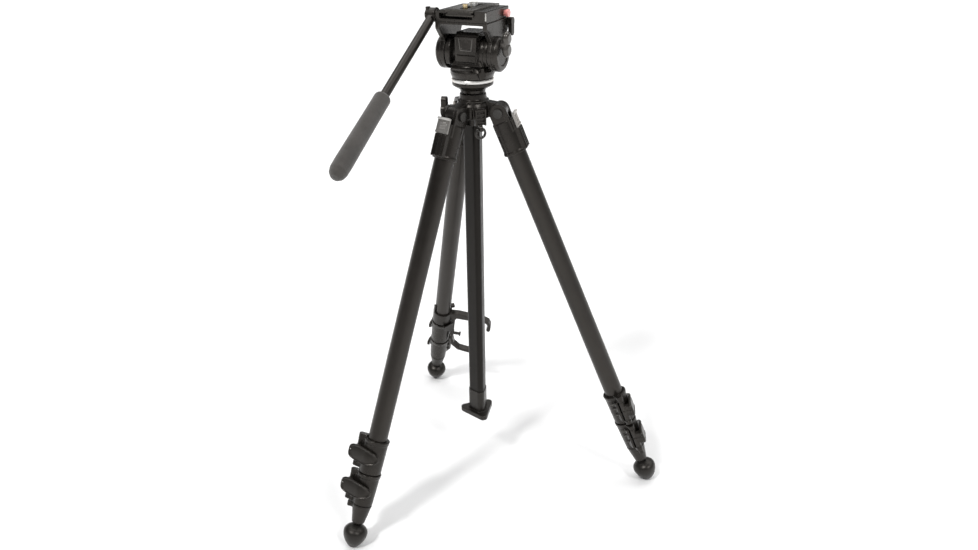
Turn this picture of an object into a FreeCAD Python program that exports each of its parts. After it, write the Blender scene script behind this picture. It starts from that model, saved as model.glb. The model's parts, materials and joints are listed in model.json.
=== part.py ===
import FreeCAD, Part
import math
import os

os.makedirs("parts", exist_ok=True)

V = FreeCAD.Vector
ORIGIN = V(0, 0, 0)
X_AXIS = V(1, 0, 0)
Y_AXIS = V(0, 1, 0)
Z_AXIS = V(0, 0, 1)

# Frame: origin on the floor under the centre column, +Z up along the column.
# Each leg is drawn hanging straight down from its hinge pin, which is at the
# leg's own origin: +X points away from the column and +Y lies along the pin.

# Driving dimensions, in millimetres and degrees.
LEG_AZIMUTHS = {"rear": 90.0, "front_left": 210.0, "right": 330.0}
SPLAY = 22.8
HINGE_R = 38.0
UPPER_OD, MIDDLE_OD, LOWER_OD = 29.0, 25.0, 21.0
TUBE_WALL = 1.3
SLIDE_CLEARANCE = 0.08
RUNNING = 0.05

# Distances down a leg from its hinge pin.
CASTING_END = 62.0
UPPER_TUBE_TOP, UPPER_TUBE_END = 18.0, 520.0
UPPER_CLAMP_TOP, UPPER_CLAMP_END = 486.0, 539.5
MIDDLE_TUBE_TOP, MIDDLE_TUBE_END = 60.0, 572.0
LOWER_CLAMP_TOP, LOWER_CLAMP_END = 540.5, 591.5
LOWER_TUBE_TOP, LOWER_TUBE_END = 100.0, 606.0
END_CAP_TOP, END_CAP_END = 592.5, 627.5
FOOT_TIP_CENTRE, FOOT_TIP_R = 655.0, 11.0
FOOT_NECK_R, FOOT_R = 6.0, 18.6
HINGE_Z = FOOT_TIP_CENTRE * math.cos(math.radians(SPLAY)) + FOOT_TIP_R

# Hinge of a leg at the shoulder.
LUG_HALF, LUG_R = 8.0, 12.0
EAR_T, EAR_R, EAR_GAP = 5.6, 12.5, 0.3
HINGE_PIN_R = 4.0
TAB_TOP, TAB_END = 7.0, 28.0
TAB_PIN_X, TAB_PIN_T = 18.3, 27.2
EYE_DROP = 18.0
COLUMN_LOCK_AZIMUTH, STRAP_AZIMUTH, PAN_LOCK_AZIMUTH = 150.0, 270.0, -42.0

# Thumb lever: its pin runs along the leg, beside the clamp.
LEVER_PIN_X, LEVER_PIN_Y, LEVER_PIN_R = 10.5, -22.5, 2.0
LEVER_H, LEVER_BARREL_H, LEVER_BARREL_R = 25.0, 34.6, 4.6
LEVER_IN_R, LEVER_OUT_R = 19.5, 24.0

# Centre column: a triangle of three round corners, which lie between the legs.
COLUMN_CORNER_R, COLUMN_CORNER_AT = 6.5, 8.6
COLUMN_BOTTOM, COLUMN_TOP = 108.0, 641.0
COLUMN_WALL = 1.5
COLUMN_CORNERS = (30.0, 150.0, 270.0)
END_PLATE_CORNER_R, END_PLATE_CORNER_AT = 7.0, 23.5
TOP_PLATE_R, TOP_PLATE_Z, TOP_PLATE_T = 29.0, 650.5, 5.5
STUD_R = 4.76

# Fluid head, drawn facing +Y and then turned about the column.
HEAD_YAW = -44.4
TILT_Z = 694.0
RING_TOP = TOP_PLATE_Z + TOP_PLATE_T + 5.0
BASE_TOP = 680.0
DRUM_R, DRUM_HALF = 22.0, 32.0
ARM_IN, ARM_OUT, CAP_OUT, CAP_R = 32.5, 38.5, 47.0, 23.0
SADDLE_BOTTOM, SADDLE_TOP = 733.5, 737.0
HOLDER_HALF, HOLDER_BACK, HOLDER_FRONT, HOLDER_TOP = 37.5, -33.0, 38.0, 751.5
PLATE_HALF, PLATE_BACK, PLATE_LENGTH = 20.0, -36.0, 82.0
PLATE_BOTTOM, PLATE_TOP = 745.0, 753.0
SHAFT_R = 5.0
HANDLE_Y, HANDLE_Z, HANDLE_DROP = -26.0, 744.0, 30.8
HANDLE_X = -44.6
HANDLE_STUD_R = 3.0
KNOB_SCREW_R = 3.0
HANDLE_TUBE_R, GRIP_R, GRIP_START, GRIP_END = 6.0, 12.0, 158.0, 296.0


def cylinder(radius, length, start, axis=Z_AXIS):
    return Part.makeCylinder(radius, length, V(*start), axis)


def tube(outer, inner, length, start, axis=Z_AXIS):
    reach = 1.0
    back = V(*start) - axis * reach
    hole = Part.makeCylinder(inner, length + 2 * reach, back, axis)
    return cylinder(outer, length, start, axis).cut(hole)


def box(low, high):
    size = [high[k] - low[k] for k in range(3)]
    return Part.makeBox(size[0], size[1], size[2], V(*low))


def polygon_prism(points, height_vector):
    wire = Part.makePolygon([V(*p) for p in points] + [V(*points[0])])
    return Part.Face(wire).extrude(height_vector)


def turned(profile):
    """A solid of revolution about Z from (radius, height) corners."""
    points = [V(r, 0, z) for r, z in profile]
    wire = Part.makePolygon(points + [points[0]])
    return Part.Face(wire).revolve(ORIGIN, Z_AXIS, 360)


def joined(shapes):
    return shapes[0].multiFuse(shapes[1:]).removeSplitter()


def rounded_triangle(corner_at, corner_r, bottom, height):
    """A prism whose outline is three corner circles and their tangents."""
    pieces = []
    centres = []
    for azimuth in COLUMN_CORNERS:
        a = math.radians(azimuth)
        centre = V(corner_at * math.cos(a), corner_at * math.sin(a), bottom)
        centres.append(centre)
        pieces.append(Part.makeCylinder(corner_r, height, centre))
    for k, start in enumerate(centres):
        end = centres[(k + 1) % 3]
        along = (end - start).normalize()
        out = V(along.y, -along.x, 0) * corner_r
        quad = [start, end, end + out, start + out]
        pieces.append(polygon_prism([tuple(p) for p in quad], V(0, 0, height)))
    pieces.append(polygon_prism([tuple(p) for p in centres], V(0, 0, height)))
    return joined(pieces)


def place_on_leg(shape, azimuth):
    """Moves a shape from a leg's own frame to where the standing leg is."""
    placed = shape.copy()
    placed.rotate(ORIGIN, Y_AXIS, -SPLAY)
    placed.translate(V(HINGE_R, 0, HINGE_Z))
    placed.rotate(ORIGIN, Z_AXIS, azimuth)
    return placed


def place_on_head(shape):
    placed = shape.copy()
    placed.rotate(ORIGIN, Z_AXIS, HEAD_YAW)
    return placed


def save(node, shape):
    solids = shape.Solids
    body = solids[0] if len(solids) == 1 else Part.makeCompound(solids)
    assert body.isValid(), node
    body.exportStep("parts/" + node + ".step")
    print(node, len(solids), round(body.Volume / 1000.0, 2), "cm3")


def top_casting():
    """Clevis at the hinge, sleeve over the upper tube, ribbed outer plate."""
    sleeve_r = 17.0
    sleeve_top = 14.5
    web_half = LUG_HALF + EAR_GAP + EAR_T
    plate_top = TAB_END + 1.0
    body = cylinder(sleeve_r, CASTING_END - sleeve_top, (0, 0, -CASTING_END))
    for side in (-1, 1):
        inner = side * (LUG_HALF + EAR_GAP)
        start = min(inner, inner + side * EAR_T)
        ear = cylinder(EAR_R, EAR_T, (0, start, 0), Y_AXIS)
        cheek = box((-EAR_R, start, -30.0), (EAR_R, start + EAR_T, 0))
        body = body.fuse(ear).fuse(cheek)
    bridge = box((-EAR_R, -web_half, -20.0), (EAR_R, web_half, -LUG_R - 1.2))
    body = body.fuse(bridge)
    plate = box((10.0, -11.0, -59.0), (19.6, 11.0, -plate_top))
    body = body.fuse(plate)
    for y in (-8.0, 0.0, 8.0):
        body = body.fuse(box((10.0, y - 1.4, -60.0), (20.8, y + 1.4, -plate_top)))
    body = body.fuse(box((8.0, -12.0, -plate_top), (16.6, 12.0, -sleeve_top)))
    bore = cylinder(UPPER_OD / 2, CASTING_END - UPPER_TUBE_TOP + 1, (0, 0, -CASTING_END - 1))
    pin = cylinder(HINGE_PIN_R + RUNNING, 60.0, (0, -30.0, 0), Y_AXIS)
    return body.cut(bore).cut(pin).removeSplitter()


def angle_tab():
    """Silver pull tab that frees the leg's angle stop, with three ribs across it."""
    inner, outer, half = 17.2, 19.4, 11.5
    plate = box((inner, -half, -TAB_END), (outer, half, -TAB_TOP))
    lip = box((inner, -half, -TAB_TOP - 2.4), (outer + 1.8, half, -TAB_TOP))
    foot_rib = box((inner, -half, -TAB_END), (outer + 0.8, half, -TAB_END + 2.6))
    ribs = [box((outer - 0.4, -4.5, -TAB_TOP - t - 1.4), (outer + 0.6, 4.5, -TAB_TOP - t))
            for t in (6.0, 9.6, 13.2)]
    barrel = cylinder(1.2, 2 * half, (TAB_PIN_X, -half, -TAB_PIN_T), Y_AXIS)
    return joined([plate, lip, foot_rib, barrel] + ribs)


def round_tube(outer_d, top, end):
    return tube(outer_d / 2, outer_d / 2 - TUBE_WALL, end - top, (0, 0, -end))


def clamp(top, end, tube_end, top_r, end_r, outer_d, inner_d, knuckle_top):
    """Tapered clamp sleeve with the two knuckles that hold the lever's pin."""
    lip = 7.0
    sleeve = turned([(0, -end), (end_r, -end), (top_r - 0.8, -top - lip),
                     (top_r, -top - lip + 1.5), (top_r, -top), (0, -top)])
    middle = lever_height(top)
    body = sleeve
    for side, knuckle_h in ((-1, 7.0), (1, knuckle_top)):
        low = middle + side * (LEVER_BARREL_H / 2 + 0.4)
        low = low if side > 0 else low - knuckle_h
        knuckle = cylinder(5.0, knuckle_h, (LEVER_PIN_X, LEVER_PIN_Y, low))
        arm = polygon_prism([(-2, -12, low), (12, -12, low),
                             (LEVER_PIN_X + 4.6, LEVER_PIN_Y + 2, low),
                             (LEVER_PIN_X - 4.6, LEVER_PIN_Y - 2, low)], V(0, 0, knuckle_h))
        body = body.fuse(knuckle).fuse(arm)
    low = middle - LEVER_BARREL_H / 2 - 1.0
    boss_h = LEVER_BARREL_H + 2.0
    boss = polygon_prism([(-7, -11, low), (13, -11, low), (14, -16.4, low), (8, -16.8, low),
                          (5, -20, low), (4.6, -25.4, low), (1.5, -26, low)], V(0, 0, boss_h))
    pocket = cylinder(LEVER_BARREL_R + 0.35, LEVER_BARREL_H + 0.8,
                      (LEVER_PIN_X, LEVER_PIN_Y, middle - LEVER_BARREL_H / 2 - 0.4))
    body = body.fuse(boss.cut(pocket))
    pin_h = LEVER_BARREL_H + 2
    pin = cylinder(LEVER_PIN_R, pin_h, (LEVER_PIN_X, LEVER_PIN_Y, middle - pin_h / 2))
    bore = cylinder(outer_d / 2, tube_end - top + 6, (0, 0, -tube_end))
    slide = cylinder(inner_d / 2 + SLIDE_CLEARANCE, end - tube_end + 2, (0, 0, -end - 1))
    return body.fuse(pin).cut(bore).cut(slide).removeSplitter()


def lever_height(clamp_top):
    """Height of the middle of a clamp's lever, in the leg's frame."""
    return -clamp_top - 26.0


def lever(clamp_top):
    """Thumb lever: a curved oval plate with a pin barrel behind it."""
    middle = lever_height(clamp_top)
    low = middle - LEVER_H / 2
    free_angle = 63.0
    ring = tube(LEVER_OUT_R, LEVER_IN_R, LEVER_H, (0, 0, low))
    a = math.radians(free_angle)
    far = 30.0
    wedge = polygon_prism([(0, 0, low), (far, 0, low), (far, far * math.tan(a), low)],
                          V(0, 0, LEVER_H))
    curved = ring.common(wedge)
    stub_x, stub_y = 26.5, -31.0
    stub = polygon_prism([(LEVER_IN_R, 0, low), (LEVER_OUT_R, 0, low),
                          (stub_x, stub_y, low), (stub_x - 4.0, stub_y, low),
                          (LEVER_IN_R + 0.3, -18.0, low)], V(0, 0, LEVER_H))
    web = polygon_prism([(LEVER_PIN_X - 2, LEVER_PIN_Y + 3.5, low),
                         (LEVER_PIN_X - 2, LEVER_PIN_Y - 3.5, low),
                         (23.5, LEVER_PIN_Y - 5.5, low), (22.5, LEVER_PIN_Y + 5.5, low)],
                        V(0, 0, LEVER_H))
    plate = curved.fuse(stub).fuse(web)
    half_h = LEVER_H / 2
    round_r = half_h - 1.0
    core = box((-10.0, -29.5 + round_r, low), (50.0, 23.0 - round_r, low + LEVER_H))
    ends = [cylinder(half_h, 60.0, (-10.0, y, middle), X_AXIS)
            for y in (-29.5 + round_r, 23.0 - round_r)]
    plate = plate.common(joined([core] + ends))
    barrel = cylinder(LEVER_BARREL_R, LEVER_BARREL_H,
                      (LEVER_PIN_X, LEVER_PIN_Y, middle - LEVER_BARREL_H / 2))
    hole = cylinder(LEVER_PIN_R + RUNNING, 60.0, (LEVER_PIN_X, LEVER_PIN_Y, middle - 30))
    return plate.fuse(barrel).cut(hole).removeSplitter()


def end_cap():
    """Tapered plug that closes the lowest tube and carries the foot."""
    body = turned([(0, -END_CAP_END), (FOOT_NECK_R, -END_CAP_END), (10.0, -END_CAP_END + 5),
                   (14.5, -END_CAP_TOP - 4), (15.0, -END_CAP_TOP - 3), (15.0, -END_CAP_TOP),
                   (0, -END_CAP_TOP)])
    boss = cylinder(4.0, 8.0, (LEVER_PIN_X - 1, -16.5, -END_CAP_TOP - 9.0))
    rib = box((2.0, -16.0, -END_CAP_TOP - 9.0), (LEVER_PIN_X, -8.0, -END_CAP_TOP - 1.0))
    socket = cylinder(LOWER_OD / 2, LOWER_TUBE_END - END_CAP_TOP + 1, (0, 0, -LOWER_TUBE_END))
    return joined([body, boss, rib]).cut(socket)


def foot():
    """Rubber foot: a bulb with its widest ring near the neck and a round tip."""
    top = -END_CAP_END - 0.05
    a = math.radians(38.0)
    tip_z = -FOOT_TIP_CENTRE
    join_r = FOOT_TIP_R * math.cos(a)
    join_z = tip_z - FOOT_TIP_R * math.sin(a)
    lowest = tip_z - FOOT_TIP_R
    profile = [
        Part.LineSegment(V(0, 0, top), V(FOOT_NECK_R, 0, top)),
        Part.Arc(V(FOOT_NECK_R, 0, top), V(15.6, 0, top - 4.2), V(FOOT_R, 0, top - 12.5)),
        Part.Arc(V(FOOT_R, 0, top - 12.5), V(16.3, 0, top - 24.0), V(join_r, 0, join_z)),
        Part.Arc(V(join_r, 0, join_z),
                 V(FOOT_TIP_R * math.sin(math.radians(26.0)), 0,
                   tip_z - FOOT_TIP_R * math.cos(math.radians(26.0))),
                 V(0, 0, lowest)),
        Part.LineSegment(V(0, 0, lowest), V(0, 0, top)),
    ]
    wire = Part.Wire([edge.toShape() for edge in profile])
    return Part.Face(wire).revolve(ORIGIN, Z_AXIS, 360)


def make_leg(name, azimuth):
    pieces = {
        "top_casting": top_casting(),
        "angle_tab": angle_tab(),
        "upper_tube": round_tube(UPPER_OD, UPPER_TUBE_TOP, UPPER_TUBE_END),
        "upper_clamp": clamp(UPPER_CLAMP_TOP, UPPER_CLAMP_END, UPPER_TUBE_END,
                             18.6, 16.8, UPPER_OD, MIDDLE_OD, 10.5),
        "upper_lever": lever(UPPER_CLAMP_TOP),
        "middle_tube": round_tube(MIDDLE_OD, MIDDLE_TUBE_TOP, MIDDLE_TUBE_END),
        "lower_clamp": clamp(LOWER_CLAMP_TOP, LOWER_CLAMP_END, MIDDLE_TUBE_END,
                             17.8, 15.2, MIDDLE_OD, LOWER_OD, 7.0),
        "lower_lever": lever(LOWER_CLAMP_TOP),
        "lower_tube": round_tube(LOWER_OD, LOWER_TUBE_TOP, LOWER_TUBE_END),
        "end_cap": end_cap(),
        "foot": foot(),
    }
    for piece, shape in pieces.items():
        save(name + "_" + piece, place_on_leg(shape, azimuth))


def leg_clip():
    """C-shaped moulded clip on a tall band round the rear leg, above its clamp."""
    band_top, band_end, band_r = 457.5, 483.4, 17.6
    thick = 12.0
    side_angle = 65.0
    band = tube(band_r, UPPER_OD / 2, band_end - band_top, (0, 0, -band_end))
    outline = [(15.5, -459.0), (30.0, -457.0), (80.0, -461.0), (89.0, -465.0), (94.0, -474.0),
               (95.0, -486.0), (93.5, -492.0), (88.5, -492.0), (87.0, -487.0), (89.0, -476.0),
               (84.5, -470.0), (78.0, -469.5), (28.5, -470.0), (25.5, -475.0), (25.5, -530.0),
               (29.0, -545.0), (40.0, -556.0), (58.0, -559.0), (80.0, -556.5), (82.0, -562.0),
               (58.0, -565.0), (37.0, -561.5), (24.0, -548.5), (21.0, -530.0), (21.0, -476.0),
               (15.5, -474.0)]
    face = polygon_prism([(x, -thick / 2, z) for x, z in outline], V(0, thick, 0))
    tab = box((24.0, -2.5, -521.0), (38.0, 2.5, -517.0))
    tab_end = box((36.5, -2.5, -523.5), (39.5, 2.5, -514.5))
    arms = joined([face, tab, tab_end])
    arms.rotate(ORIGIN, Z_AXIS, 180.0 + side_angle)
    strut = polygon_prism([(-23.0, 3.0, -482.0), (-23.0, 3.0, -489.0), (-11.0, -24.0, -519.0),
                           (-13.4, -18.6, -482.0)], V(-2.0, -0.9, 0))
    ears = [box((-3.0, 14.6, -460.0), (3.0, 17.4, -441.0)),
            box((-3.0, -17.4, -460.0), (3.0, -14.6, -447.0)),
            box((-4.0, -22.0, -452.0), (4.0, -15.0, -447.0))]
    hollow = cylinder(UPPER_OD / 2, 60.0, (0, 0, -488.0))
    return joined([band, arms, strut] + ears).cut(hollow)


def shoulder_casting():
    """Hub that the column slides through, with a lug for each leg."""
    heights = [(0, -18.0), (18.0, -18.0), (18.6, -9.0), (23.8, -8.0), (24.8, 4.0), (24.2, 9.0),
               (21.6, 13.5), (22.6, 14.5), (22.6, 16.5), (19.6, 17.5), (18.6, 25.0), (0, 25.0)]
    hub = turned([(r, HINGE_Z + z) for r, z in heights])
    pieces = [hub]
    for azimuth in LEG_AZIMUTHS.values():
        lug = cylinder(LUG_R, 2 * LUG_HALF, (HINGE_R, -LUG_HALF, HINGE_Z), Y_AXIS)
        neck = box((15.0, -LUG_HALF, HINGE_Z - 7.0), (HINGE_R, LUG_HALF, HINGE_Z + LUG_R))
        ridge = polygon_prism([(18.0, -LUG_HALF, HINGE_Z + 15.0), (18.0, -LUG_HALF, HINGE_Z),
                               (HINGE_R, -LUG_HALF, HINGE_Z), (HINGE_R, -LUG_HALF, HINGE_Z + LUG_R)],
                              V(0, 2 * LUG_HALF, 0))
        arm = lug.fuse(neck).fuse(ridge)
        arm.rotate(ORIGIN, Z_AXIS, azimuth)
        pieces.append(arm)
    boss = cylinder(8.5, 14.0, (20.0, 0, HINGE_Z - 1.0), X_AXIS)
    boss.rotate(ORIGIN, Z_AXIS, COLUMN_LOCK_AZIMUTH)
    pieces.append(boss)
    pad = box((20.0, -9.0, HINGE_Z - 8.0), (28.0, 9.0, HINGE_Z + 7.0))
    pad.rotate(ORIGIN, Z_AXIS, STRAP_AZIMUTH)
    pieces.append(pad)
    body = joined(pieces)
    bore = rounded_triangle(COLUMN_CORNER_AT, COLUMN_CORNER_R + 2.2, HINGE_Z - 30, 80.0)
    screw = cylinder(4.0 + RUNNING, 30.0, (10.0, 0, HINGE_Z - 1.0), X_AXIS)
    screw.rotate(ORIGIN, Z_AXIS, COLUMN_LOCK_AZIMUTH)
    body = body.cut(bore).cut(screw)
    for azimuth in LEG_AZIMUTHS.values():
        pin = cylinder(HINGE_PIN_R, 40.0, (HINGE_R, -20.0, HINGE_Z), Y_AXIS)
        pin.rotate(ORIGIN, Z_AXIS, azimuth)
        body = body.cut(pin)
    return body


def hinge_bolts():
    """One bolt with a round head and nut through each leg's hinge."""
    reach = LUG_HALF + EAR_GAP + EAR_T + 0.3
    bolts = []
    for azimuth in LEG_AZIMUTHS.values():
        shank = cylinder(HINGE_PIN_R, 2 * reach, (HINGE_R, -reach, HINGE_Z), Y_AXIS)
        head = cylinder(6.5, 2.6, (HINGE_R, -reach - 2.6, HINGE_Z), Y_AXIS)
        nut = cylinder(6.5, 2.6, (HINGE_R, reach, HINGE_Z), Y_AXIS)
        bolt = joined([shank, head, nut])
        bolt.rotate(ORIGIN, Z_AXIS, azimuth)
        bolts.append(bolt)
    return Part.makeCompound(bolts)


def column_bush():
    """Plastic sleeve between the column and the hub."""
    low, height = HINGE_Z - 17.0, 41.0
    outer = rounded_triangle(COLUMN_CORNER_AT, COLUMN_CORNER_R + 2.1, low, height)
    inner = rounded_triangle(COLUMN_CORNER_AT, COLUMN_CORNER_R + 0.3, low - 1, height + 2)
    screw = cylinder(4.3, 30.0, (8.0, 0, HINGE_Z - 1.0), X_AXIS)
    screw.rotate(ORIGIN, Z_AXIS, COLUMN_LOCK_AZIMUTH)
    return outer.cut(inner).cut(screw)


def column_lock_knob():
    """Winged screw that presses on a corner of the column."""
    z = HINGE_Z - 1.0
    corner = COLUMN_CORNER_AT + COLUMN_CORNER_R
    screw = cylinder(4.0, 34.6 - corner, (corner + 0.3, 0, z), X_AXIS)
    knob = cylinder(8.0, 12.0, (34.6, 0, z), X_AXIS)
    wing_h, wing_half = 13.5, 6.0
    wing = box((38.0, -wing_half, z), (46.0, wing_half, z + wing_h))
    tip = cylinder(wing_half, 8.0, (38.0, 0, z + wing_h), X_AXIS)
    shape = joined([screw, knob, wing, tip])
    shape.rotate(ORIGIN, Z_AXIS, COLUMN_LOCK_AZIMUTH)
    return shape


def strap_bracket():
    """Ladder-ribbed bracket with an eye for the strap ring."""
    z = HINGE_Z
    plate = box((28.0, -8.0, z - 14.0), (31.0, 8.0, z + 7.0))
    rails = [box((28.0, y, z - 14.0), (35.0, y + 2.4, z + 7.0)) for y in (-8.0, 5.6)]
    steps = [box((28.0, -8.0, z - 11.0 + 5.5 * k), (33.6, 8.0, z - 8.6 + 5.5 * k)) for k in range(4)]
    eye = cylinder(5.0, 5.0, (32.0, -2.5, z - EYE_DROP), Y_AXIS)
    neck = box((29.0, -2.5, z - EYE_DROP), (34.0, 2.5, z - 12.0))
    hole = cylinder(2.6, 12.0, (32.0, -6.0, z - EYE_DROP), Y_AXIS)
    body = joined([plate, eye, neck] + rails + steps).cut(hole)
    body.rotate(ORIGIN, Z_AXIS, STRAP_AZIMUTH)
    return body


def strap_ring():
    """Wire ring that hangs in the bracket's eye."""
    wire_r, ring_r = 1.8, 6.8
    top = HINGE_Z - EYE_DROP
    ring = Part.makeTorus(ring_r, wire_r, V(32.0, 0, top - ring_r), X_AXIS)
    ring.rotate(ORIGIN, Z_AXIS, STRAP_AZIMUTH)
    return ring


def column_tube():
    height = COLUMN_TOP - COLUMN_BOTTOM
    outer = rounded_triangle(COLUMN_CORNER_AT, COLUMN_CORNER_R, COLUMN_BOTTOM, height)
    inner = rounded_triangle(COLUMN_CORNER_AT, COLUMN_CORNER_R - COLUMN_WALL,
                             COLUMN_BOTTOM - 1, height + 2)
    return outer.cut(inner)


def column_top_plate():
    """Disc that the head stands on, with its cone and the head's stud."""
    disc_top = TOP_PLATE_Z + TOP_PLATE_T
    body = turned([(0, COLUMN_TOP), (17.4, COLUMN_TOP), (18.2, TOP_PLATE_Z - 5),
                   (27.0, TOP_PLATE_Z), (TOP_PLATE_R, TOP_PLATE_Z + 1.5), (TOP_PLATE_R, disc_top),
                   (0, disc_top)])
    plug = rounded_triangle(COLUMN_CORNER_AT, COLUMN_CORNER_R - COLUMN_WALL,
                            COLUMN_TOP - 14.0, 14.0)
    stud = cylinder(STUD_R, 12.0, (0, 0, disc_top))
    return joined([body, plug, stud])


def column_end_plate():
    """Sleeve and rounded triangular foot plate at the column's lower end."""
    sleeve = rounded_triangle(COLUMN_CORNER_AT, COLUMN_CORNER_R + 1.2, COLUMN_BOTTOM, 40.0)
    plate = rounded_triangle(END_PLATE_CORNER_AT, END_PLATE_CORNER_R, COLUMN_BOTTOM - 7, 8.0)
    body = sleeve.fuse(plate)
    socket = rounded_triangle(COLUMN_CORNER_AT, COLUMN_CORNER_R, COLUMN_BOTTOM, 41.0)
    return body.cut(socket).removeSplitter()


def head_base_ring():
    low = TOP_PLATE_Z + TOP_PLATE_T
    return turned([(STUD_R, low), (28.6, low), (29.6, low + 1.2), (29.6, RING_TOP - 1.2),
                   (28.6, RING_TOP), (STUD_R, RING_TOP)])


def pan_base():
    """Bowl that turns on the ring and carries the drag housing."""
    low = RING_TOP + 0.3
    bowl = turned([(7.0, low), (27.0, low), (29.0, low + 1.0), (31.0, 667.5), (31.0, 671.0),
                   (29.0, 675.5), (26.5, BASE_TOP), (7.0, BASE_TOP)])
    lid = cylinder(7.0, 6.0, (0, 0, BASE_TOP - 6.0))
    lip = polygon_prism([(-20.0, -29.5, 674.5), (16.0, -29.5, 674.5),
                         (15.0, -31.0, 677.0), (-18.0, -31.0, 677.0)], V(0, 9.0, 3.0))
    screw = cylinder(KNOB_SCREW_R + RUNNING, 20.0, (24.0, 0, 669.0), X_AXIS)
    screw.rotate(ORIGIN, Z_AXIS, PAN_LOCK_AZIMUTH)
    return joined([bowl, lid, lip]).cut(screw)


def pan_lock_knob():
    screw = cylinder(KNOB_SCREW_R, 9.0, (24.5, 0, 669.0), X_AXIS)
    knob = cylinder(5.2, 5.5, (31.6, 0, 669.0), X_AXIS)
    wing = box((32.6, -2.2, 669.0), (37.1, 2.2, 678.0))
    shape = joined([screw, knob, wing])
    shape.rotate(ORIGIN, Z_AXIS, PAN_LOCK_AZIMUTH)
    return shape


def drag_housing():
    """Trunk and tilt drum, with the trapezoid cover panel on the operator's side."""
    drum = cylinder(DRUM_R, 2 * DRUM_HALF, (-DRUM_HALF, 0, TILT_Z), X_AXIS)
    rings = [cylinder(DRUM_R + 0.8, 3.0, (x, 0, TILT_Z), X_AXIS) for x in (-30.0, 14.0, 21.0, 28.0)]
    trunk = box((-17.0, -24.0, BASE_TOP), (25.0, 24.0, 723.0))
    skirt = polygon_prism([(-19.0, -26.0, BASE_TOP), (27.0, -26.0, BASE_TOP),
                           (25.0, -24.0, BASE_TOP + 7), (-17.0, -24.0, BASE_TOP + 7)],
                          V(0, 50.0, 0))
    panel = polygon_prism([(-14.0, -26.6, 719.0), (22.0, -26.6, 719.0),
                           (18.5, -26.6, 684.0), (-10.5, -26.6, 684.0)], V(0, 6.0, 0))
    inset = polygon_prism([(-8.0, -28.0, 714.0), (16.0, -28.0, 714.0),
                           (13.0, -28.0, 700.0), (-5.0, -28.0, 700.0)], V(0, 2.2, 0))
    grooves = [box((-12.0, -28.0, z), (20.0, -25.8, z + 1.0)) for z in (696.0, 691.5, 687.5)]
    bore = cylinder(SHAFT_R, 2 * DRUM_HALF + 2, (-DRUM_HALF - 1, 0, TILT_Z), X_AXIS)
    body = joined([drum, trunk, skirt, panel] + rings)
    reach = DRUM_HALF + 1
    body = body.common(box((-reach, -reach, BASE_TOP), (reach, reach, SADDLE_BOTTOM)))
    return body.cut(bore).cut(inset).cut(Part.makeCompound(grooves)).removeSplitter()


def tilt_shaft():
    return cylinder(SHAFT_R, 2 * ARM_OUT - 0.6, (-ARM_OUT + 0.3, 0, TILT_Z), X_AXIS)


def cradle():
    """Inverted U: two arms on the tilt shaft under a flat saddle."""
    saddle = box((-HOLDER_HALF, HOLDER_BACK, SADDLE_BOTTOM), (HOLDER_HALF, HOLDER_FRONT, SADDLE_TOP))
    pieces = [saddle]
    for start in (-ARM_OUT, ARM_IN):
        width = ARM_OUT - ARM_IN
        disc = cylinder(CAP_R, width, (start, 0, TILT_Z), X_AXIS)
        cheek = polygon_prism([(start, HOLDER_BACK, SADDLE_TOP), (start, HOLDER_FRONT, SADDLE_TOP),
                               (start, HOLDER_FRONT, SADDLE_TOP - 8), (start, 21.5, TILT_Z + 8),
                               (start, -21.5, TILT_Z + 8), (start, HOLDER_BACK, SADDLE_TOP - 8)],
                              V(width, 0, 0))
        pieces += [disc, cheek]
    body = joined(pieces)
    bore = cylinder(SHAFT_R + RUNNING, 2 * ARM_OUT + 2, (-ARM_OUT - 1, 0, TILT_Z), X_AXIS)
    screw = cylinder(KNOB_SCREW_R + RUNNING, 20.0, (ARM_IN + 1.5, -3.0, TILT_Z + 14), X_AXIS)
    pivot = cylinder(2.5 + RUNNING, 14.0, (ARM_IN + 1.0, 34.0, SADDLE_TOP - 5.0), X_AXIS)
    return body.cut(bore).cut(screw).cut(pivot)


def side_caps():
    """Dished round covers over the outer faces of the two cradle arms."""
    start, bevel = ARM_OUT, 3.0
    profile = [(0, 0), (CAP_R, 0), (CAP_R, CAP_OUT - start - bevel),
               (CAP_R - bevel, CAP_OUT - start), (CAP_R - 8, CAP_OUT - start),
               (CAP_R - 9, CAP_OUT - start - 1.2), (0, CAP_OUT - start - 1.2)]
    caps = []
    for side in (-1, 1):
        cap = turned(profile)
        cap.rotate(ORIGIN, Y_AXIS, 90.0 * side)
        cap.translate(V(side * start, 0, TILT_Z))
        caps.append(cap)
    screw = cylinder(KNOB_SCREW_R + RUNNING, 20.0, (start - 2, -3.0, TILT_Z + 14), X_AXIS)
    caps[1] = caps[1].cut(screw)
    return Part.makeCompound(caps)


def tilt_knob():
    """Oval winged knob that locks the tilt."""
    y, z = -3.0, TILT_Z + 14.0
    screw = cylinder(KNOB_SCREW_R, 16.0, (CAP_OUT - 12.0, y, z), X_AXIS)
    hub = cylinder(8.0, 8.0, (CAP_OUT + 0.4, y, z), X_AXIS)
    lobes = []
    for side in (-1, 1):
        lobe = Part.makeSphere(1.0)
        swell = FreeCAD.Matrix()
        swell.A11, swell.A22, swell.A33 = 5.6, 9.2, 9.4
        lobe = lobe.transformGeometry(swell)
        lobe.translate(V(CAP_OUT + 6.6, y, z + side * 7.4))
        lobes.append(lobe)
    return joined([screw, hub] + lobes)


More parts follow.
